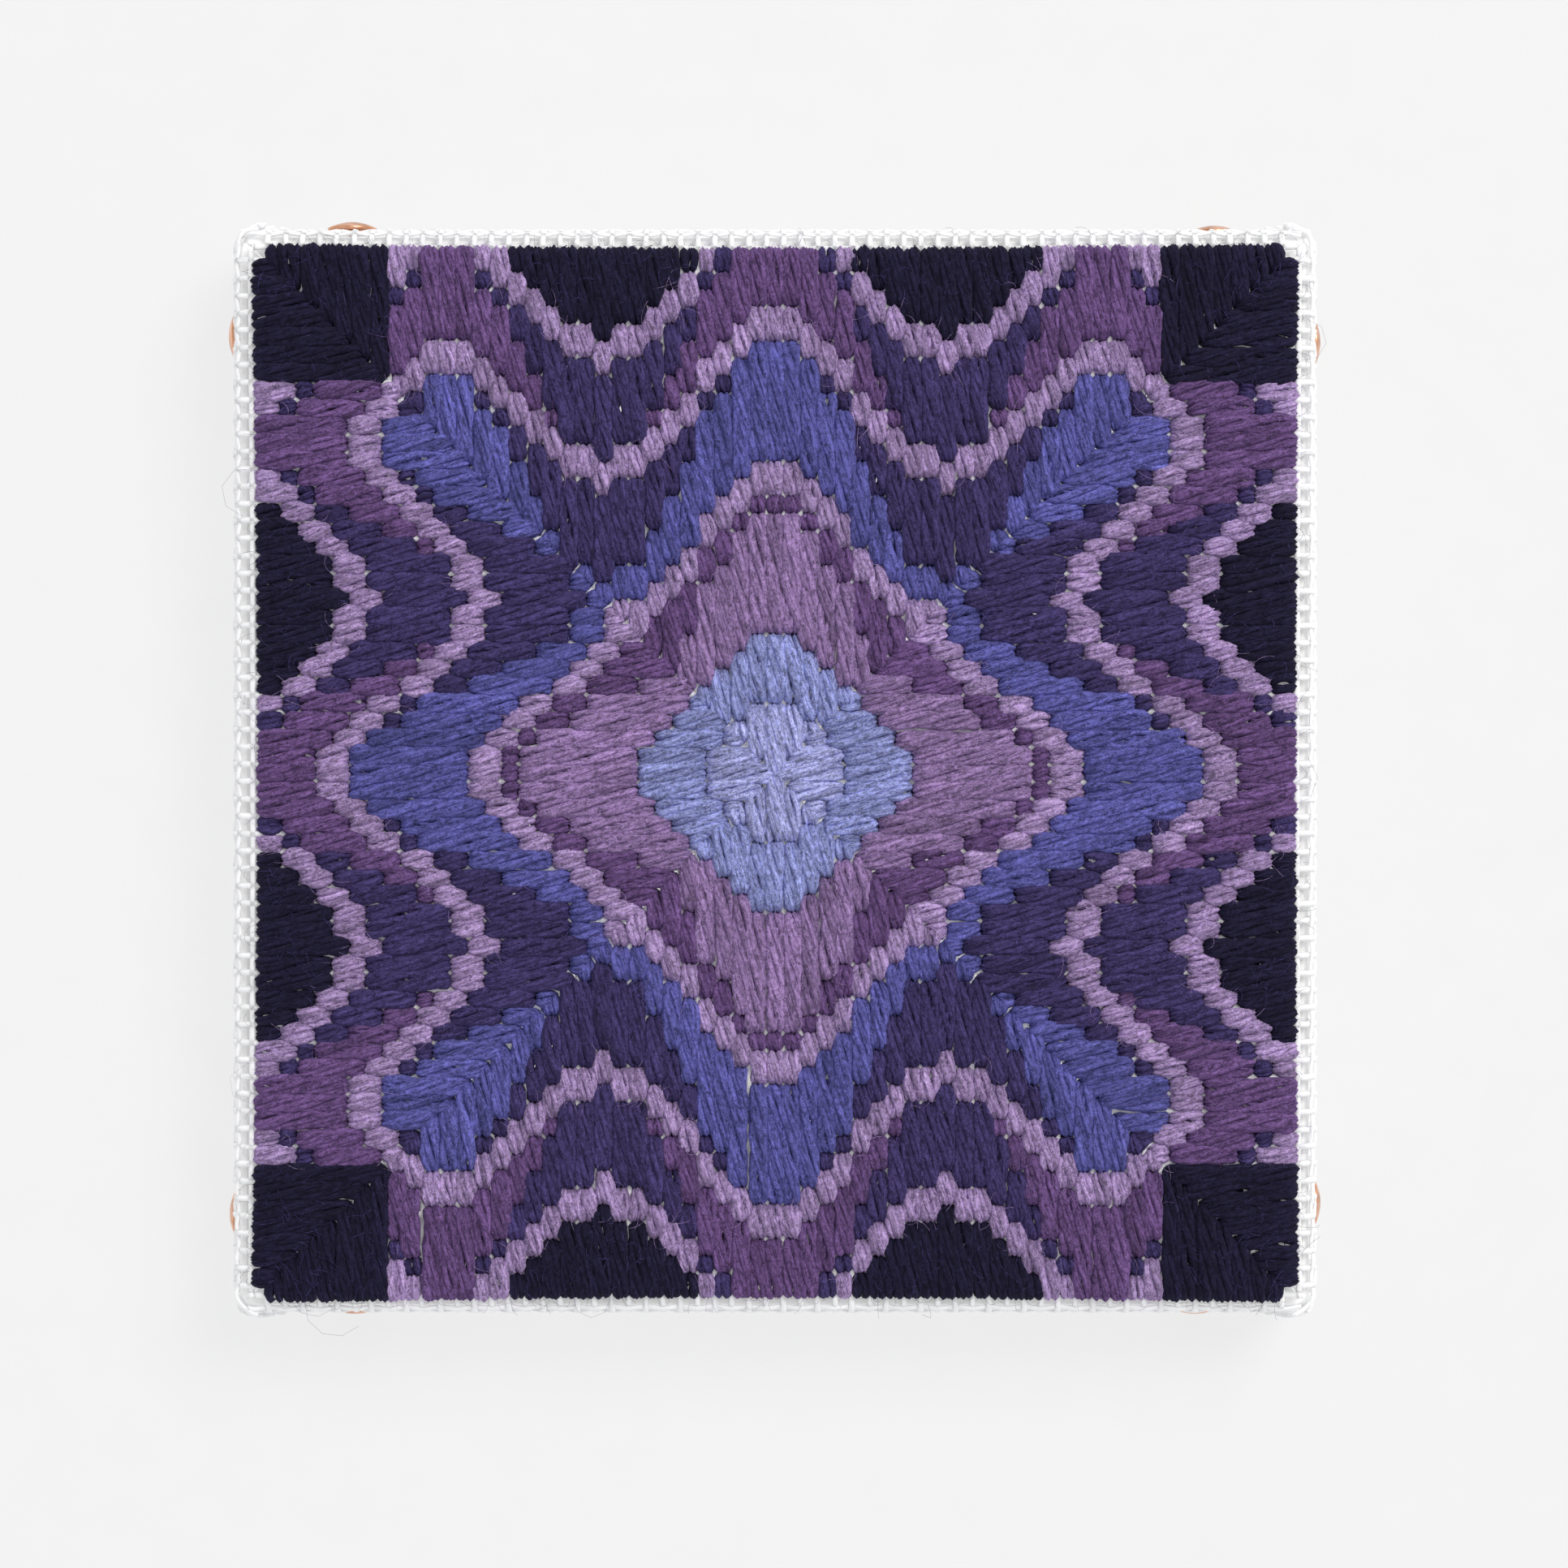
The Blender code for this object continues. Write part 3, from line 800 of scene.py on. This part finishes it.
# %% [markdown]
# ## Fuzz
#
# Wool is hairy, and handling raises its fibres. Most lie in loose curls on the stitches they come
# from, more or less along them. Where the dark outer stitches meet the white margin they stand out
# clearly, so more of them are laid there, and a few long ones stray beyond the edge. Each is a very
# thin three-sided tube along an arc that turns as it goes.

# %% Loose fibres
HAIR_SIDES = 3
HAIR_RINGS = 5
HAIR_HALF = 0.019 * MM
LYING_LENGTH = (1.2 * MM, 3.6 * MM)
LYING_BASE = (1.5 * MM, 1.95 * MM)
STRAY_LENGTH = (6.0 * MM, 13.0 * MM)
STRAY_CURL = (2.5, 4.5)


def hair_corners(u, v, heading, length, curl, base, rise, wrapped):
    """Thin curled tubes that start at flat places, with their middles lifted by rise.

    The heading grows by curl along a hair, and its height is base + rise * sin(pi * share).
    """
    share = np.linspace(0, 1, HAIR_RINGS)
    turning = heading[:, None] + curl[:, None] * share
    step = length[:, None] / (HAIR_RINGS - 1)
    u = u[:, None] + np.cumsum(step * np.cos(turning), 1)
    v = v[:, None] + np.cumsum(step * np.sin(turning), 1)
    lift = base[:, None] + rise[:, None] * np.sin(np.pi * share)
    path = on_cloth(*pulled(u, v), lift) if wrapped else np.stack([u, v, middle_z + lift], -1)
    upright = np.zeros_like(path)
    upright[..., 2] = 1.0
    run = np.gradient(path, axis=-2)
    half = HAIR_HALF + 0 * u
    return tube_corners(path, *ring_axes(path, np.cross(upright, run)), half, half, HAIR_SIDES)


def lying_hairs(stitches, count, rng):
    """Hairs on the stitches, each from a random place on a random one: more on the longer ones."""
    threads = stitches[:, 3] - stitches[:, 2]
    chosen = rng.choice(len(stitches), count, p=threads / threads.sum())
    quarter, column, low, high = stitches[chosen].T
    across = (column + rng.uniform(-0.4, 0.4, count)) * PITCH
    along = (low + (high - low) * rng.uniform(0.1, 0.9, count)) * PITCH
    u, v = turn_flat(across, along, quarter)
    heading = quarter * np.pi / 2 + rng.choice((-0.5, 0.5), count) * np.pi + rng.normal(0, 0.6, count)
    return hair_corners(
        u, v, heading, rng.uniform(*LYING_LENGTH, count), rng.normal(0, 1.3, count),
        rng.uniform(*LYING_BASE, count), rng.uniform(0.1, 0.35, count) * MM, True,
    )


def margin_hairs(stitches, per_stitch, rng):
    """Hairs that lie from the outermost stitches over the margin."""
    outer = np.repeat(stitches[stitches[:, 3] == HALF_COUNT], per_stitch, axis=0)
    quarter, column, low, high = outer.T
    count = len(outer)
    across = (column + rng.uniform(-0.5, 0.5, count)) * PITCH
    along = (high + rng.uniform(-0.3, 0.5, count)) * PITCH
    heading = quarter * np.pi / 2 + rng.normal(np.pi / 2, 0.9, count)
    u, v = turn_flat(across, along, quarter)
    return hair_corners(
        u, v, heading, rng.gamma(2.5, 0.5, count) * MM, rng.normal(0, 2.0, count),
        rng.uniform(0.45, 0.9, count) * MM, rng.uniform(-0.1, 0.4, count) * MM, True,
    )


def stray_hairs(stitches, share, rng):
    """A few long loose fibres that stand out past the edge of the panel in wide loops."""
    outer = stitches[stitches[:, 3] == HALF_COUNT]
    quarter, column, low, high = outer[rng.choice(len(outer), int(np.ceil(share * len(outer))))].T
    count = len(quarter)
    across = (column + rng.uniform(-0.5, 0.5, count)) * PITCH
    heading = quarter * np.pi / 2 + rng.normal(np.pi / 2, 0.5, count)
    u, v = turn_flat(across, (high - 0.2) * PITCH, quarter)
    return hair_corners(
        u, v, heading, rng.uniform(*STRAY_LENGTH, count),
        rng.choice((-1, 1), count) * rng.uniform(*STRAY_CURL, count),
        rng.uniform(0.7, 1.1, count) * MM, rng.uniform(-0.5, 0.6, count) * MM, False,
    )


# %% [markdown]
# ## The look of dyed wool
#
# Wool scatters light among its fibres, so it has no highlight, only a soft glow where it turns away.
# The material streaks its colour and its bump along each ply, because the fibres run that way. Its
# streaks also carry painted light: a painted glint on the light ones and painted shade on the dark ones.
# Every corner of a ply carries its place measured round and along the ply, and the noise is read there. A
# second noise with no direction is mixed in, as raised fibres blur the streaks of the real wool.


# %% Wool material
WOOL_COLOURS = {
    "aubergine": (57, 47, 92),
    "lilac": (155, 131, 174),
    "mauve": (134, 108, 152),
    "navy": (18, 13, 43),
    "pale": (158, 161, 208),
    "periwinkle": (137, 143, 194),
    "plum": (97, 70, 117),
    "royal": (84, 83, 148),
}


STREAK_STRETCH = (1000.0, 1000.0, 240.0)
TANGLE_SHARE = 0.48
SHADOW_TONE, LIGHT_TONE = 0.34, 1.60
PAINTED_FIBRE_GLINT = 0.008


def linear(rgb):
    """A colour given as screen values from 0 to 255, as the light it stands for."""
    value = np.asarray(rgb) / 255
    return tuple(np.where(value < 0.04045, value / 12.92, ((value + 0.055) / 1.055) ** 2.4))


def wool_material(name, rgb):
    """Streaked, fibrous wool of one dye lot, with painted glints and shade in its streaks."""
    colour = np.array(linear(rgb))
    made, nodes, links, shader = principled("wool_" + name, 0.92)
    fibre = nodes.new("ShaderNodeAttribute")
    fibre.attribute_name = "fibre"
    shade = nodes.new("ShaderNodeAttribute")
    shade.attribute_name = "shade"
    stretch = nodes.new("ShaderNodeVectorMath")
    stretch.operation = "MULTIPLY"
    stretch.inputs[1].default_value = STREAK_STRETCH
    streaks = noise_node(nodes, 2.6, detail=5.0, roughness=0.62)
    place = nodes.new("ShaderNodeTexCoord")
    tangle = noise_node(nodes, 2400.0, detail=4.0, distortion=1.2)
    blend = nodes.new("ShaderNodeMix")
    blend.data_type = "FLOAT"
    blend.inputs["Factor"].default_value = TANGLE_SHARE
    # Painted light in part: the dark end of the ramp adds painted shade between fibres, and the light end
    # with its added constant a painted glint, over a random fibre tone.
    tone = tone_node(nodes, 0.40, colour * SHADOW_TONE, 0.61, colour * LIGHT_TONE + PAINTED_FIBRE_GLINT)
    dyed = nodes.new("ShaderNodeMix")
    dyed.data_type = "RGBA"
    dyed.blend_type = "MULTIPLY"
    dyed.inputs["Factor"].default_value = 1.0
    bump = bump_node(nodes, 0.7, 0.16 * MM)
    links.new(fibre.outputs["Vector"], stretch.inputs[0])
    links.new(stretch.outputs["Vector"], streaks.inputs["Vector"])
    links.new(place.outputs["Object"], tangle.inputs["Vector"])
    links.new(streaks.outputs["Fac"], blend.inputs["A"])
    links.new(tangle.outputs["Fac"], blend.inputs["B"])
    links.new(blend.outputs["Result"], tone.inputs["Fac"])
    links.new(tone.outputs["Color"], dyed.inputs["A"])
    # The shade attribute multiplies the colour: random tone per stitch and ply, and a painted gleam on the
    # lying and stray hairs.
    links.new(shade.outputs["Fac"], dyed.inputs["B"])
    links.new(dyed.outputs["Result"], shader.inputs["Base Color"])
    links.new(blend.outputs["Result"], bump.inputs["Height"])
    links.new(bump.outputs["Normal"], shader.inputs["Normal"])
    shader.inputs["Sheen Weight"].default_value = 0.8
    shader.inputs["Sheen Roughness"].default_value = 0.5
    shader.inputs["Sheen Tint"].default_value = (*(1.5 * colour + 0.02), 1.0)
    shader.inputs["Specular IOR Level"].default_value = 0.2
    return made


# %% Work the stitches, colour by colour
HAIRS_PER_THREAD = 1.6
MARGIN_HAIRS = 4
STRAY_SHARE = 0.05
PAINTED_HAIR_GLEAM = 0.09

for number, colour in enumerate(colours):
    rng = np.random.default_rng(100 + number)
    mine = np.array([stitch[:4] for stitch in chart if stitch[4] == colour])
    threads = mine[:, 3] - mine[:, 2]
    worked = [ply_corners(mine[threads == n], n, rng) for n in np.unique(threads)]
    worked.append(reverse_corners(mine, rng))
    hairs = [
        lying_hairs(mine, int(HAIRS_PER_THREAD * threads.sum()), rng),
        margin_hairs(mine, MARGIN_HAIRS, rng), stray_hairs(mine, STRAY_SHARE, rng),
    ]
    tubes = [joined([part[0] for part in worked], PLY_SIDES), joined(hairs, HAIR_SIDES)]
    piece = new_piece("wool_" + colour, tubes, wool_material(colour, WOOL_COLOURS[colour]))
    # Painted highlight: the lying and stray hairs get a lighter copy of the dye, as if they caught the
    # light; the margin hairs keep the plain dye.
    painted_gleam = 1 + PAINTED_HAIR_GLEAM / np.mean(linear(WOOL_COLOURS[colour]))
    hair_shades = [np.full(hair[..., 0].size, tone) for hair, tone in zip(hairs, (painted_gleam, 1.0, painted_gleam))]
    fibre = np.concatenate([part[1].reshape(-1, 3) for part in worked] + [tubes[1][0]])
    shade = np.concatenate([part[2].ravel() for part in worked] + hair_shades)
    note_on_corners(piece, "fibre", fibre)
    note_on_corners(piece, "shade", shade)
    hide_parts("wool_stitching", "wool_reverse")
    print(f"{colour}: {len(mine)} stitches, {triangles(piece)} triangles")

# %% [markdown]
# ## Bars and tacks
#
# The bars keep their solid shape. They are pale wood under a coat of white primer, which carries a
# faint painted glow that keeps them pale in the shade under the canvas holes. The tacks are the only
# bright thing: turned copper domes with a cloudy tarnish. A dome has to be rounder than the plain
# model's to catch a clean highlight, so it is turned again from a finer profile, pin and all.


# %% Primed wood
def primed_wood_material():
    """White primer over pale wood, cloudy and slightly uneven, with a faint painted glow."""
    made, nodes, links, shader = principled("primed_wood", 0.8)
    # Painted light: the primer glows faintly, so the bars seen through the holes stay pale.
    add_painted_glow(shader)
    place = nodes.new("ShaderNodeTexCoord")
    grain = noise_node(nodes, 260.0, detail=6.0, distortion=0.6)
    tone = tone_node(nodes, 0.32, (0.90, 0.895, 0.885), 0.58, (0.97, 0.967, 0.96))
    bump = bump_node(nodes, 0.35, 0.1 * MM)
    links.new(place.outputs["Object"], grain.inputs["Vector"])
    links.new(grain.outputs["Fac"], tone.inputs["Fac"])
    links.new(tone.outputs["Color"], shader.inputs["Base Color"])
    links.new(grain.outputs["Fac"], bump.inputs["Height"])
    links.new(bump.outputs["Normal"], shader.inputs["Normal"])
    return made


primed_wood = primed_wood_material()
for name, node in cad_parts.items():
    if name.startswith("bar_"):
        node.data.materials.clear()
        node.data.materials.append(primed_wood)


# %% Copper tacks
def copper_material():
    """Bright copper with cloudy tarnish, duller where it is darker."""
    made, nodes, links, shader = principled("tack_copper_bright", 0.28)
    shader.inputs["Metallic"].default_value = 1.0
    place = nodes.new("ShaderNodeTexCoord")
    cloud = noise_node(nodes, 450.0, detail=5.0)
    tone = tone_node(nodes, 0.35, (0.55, 0.25, 0.13), 0.6, (0.89, 0.48, 0.31))
    polish = nodes.new("ShaderNodeMapRange")
    polish.inputs["To Min"].default_value = 0.42
    polish.inputs["To Max"].default_value = 0.16
    links.new(place.outputs["Object"], cloud.inputs["Vector"])
    links.new(cloud.outputs["Fac"], tone.inputs["Fac"])
    links.new(cloud.outputs["Fac"], polish.inputs["Value"])
    links.new(tone.outputs["Color"], shader.inputs["Base Color"])
    links.new(polish.outputs["Result"], shader.inputs["Roughness"])
    return made


TACK_RADIUS = 3.6 * MM
TACK_DOME = 0.95 * MM
TACK_RIM = 0.3 * MM
PIN_RADIUS = 0.6 * MM
PIN_LENGTH = 9.0 * MM
TACK_SIDES = 48


def tack_profile():
    """Radius and height of the turned shape, from the pin's point to the top of the dome.

    The dome is part of a sphere: height = rim + dome * (1 - (radius / tack radius) squared).
    """
    share = np.linspace(1, 0.04, 9)
    dome_radius = TACK_RADIUS * share
    dome_height = TACK_RIM + TACK_DOME * (1 - share ** 2)
    radius = np.array([0.1 * PIN_RADIUS, PIN_RADIUS, PIN_RADIUS, TACK_RADIUS - TACK_RIM / 2, *dome_radius])
    height = np.array([-PIN_LENGTH, -0.85 * PIN_LENGTH, 0.0, 0.0, *dome_height])
    return radius, height


def tack_corners(head_middle, out):
    """Corners of a tack whose pin goes straight in, against the direction out."""
    radius, height = tack_profile()
    across = np.array([-out[1], out[0], 0.0])
    upward = np.array([0.0, 0.0, 1.0])
    path = head_middle + height[:, None] * out
    return tube_corners(path, across + 0 * path, upward + 0 * path, radius, radius, TACK_SIDES)[None]


copper = copper_material()
tack_names = sorted(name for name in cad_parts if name.startswith("tack_"))
for name in tack_names:
    low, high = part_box(name)
    middle = (np.array(low) + np.array(high)) / 2
    side = int(np.argmax(np.abs(middle[:2])))
    out = np.zeros(3)
    out[side] = np.sign(middle[side])
    head_middle = middle.copy()
    outermost = max(abs(low[side]), abs(high[side]))
    head_middle[side] = np.sign(middle[side]) * (outermost - TACK_DOME - TACK_RIM)
    piece = new_piece(name + "_turned", [joined([tack_corners(head_middle, out)], TACK_SIDES)], copper)
    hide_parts(name)
print(len(tack_names), "tacks turned")
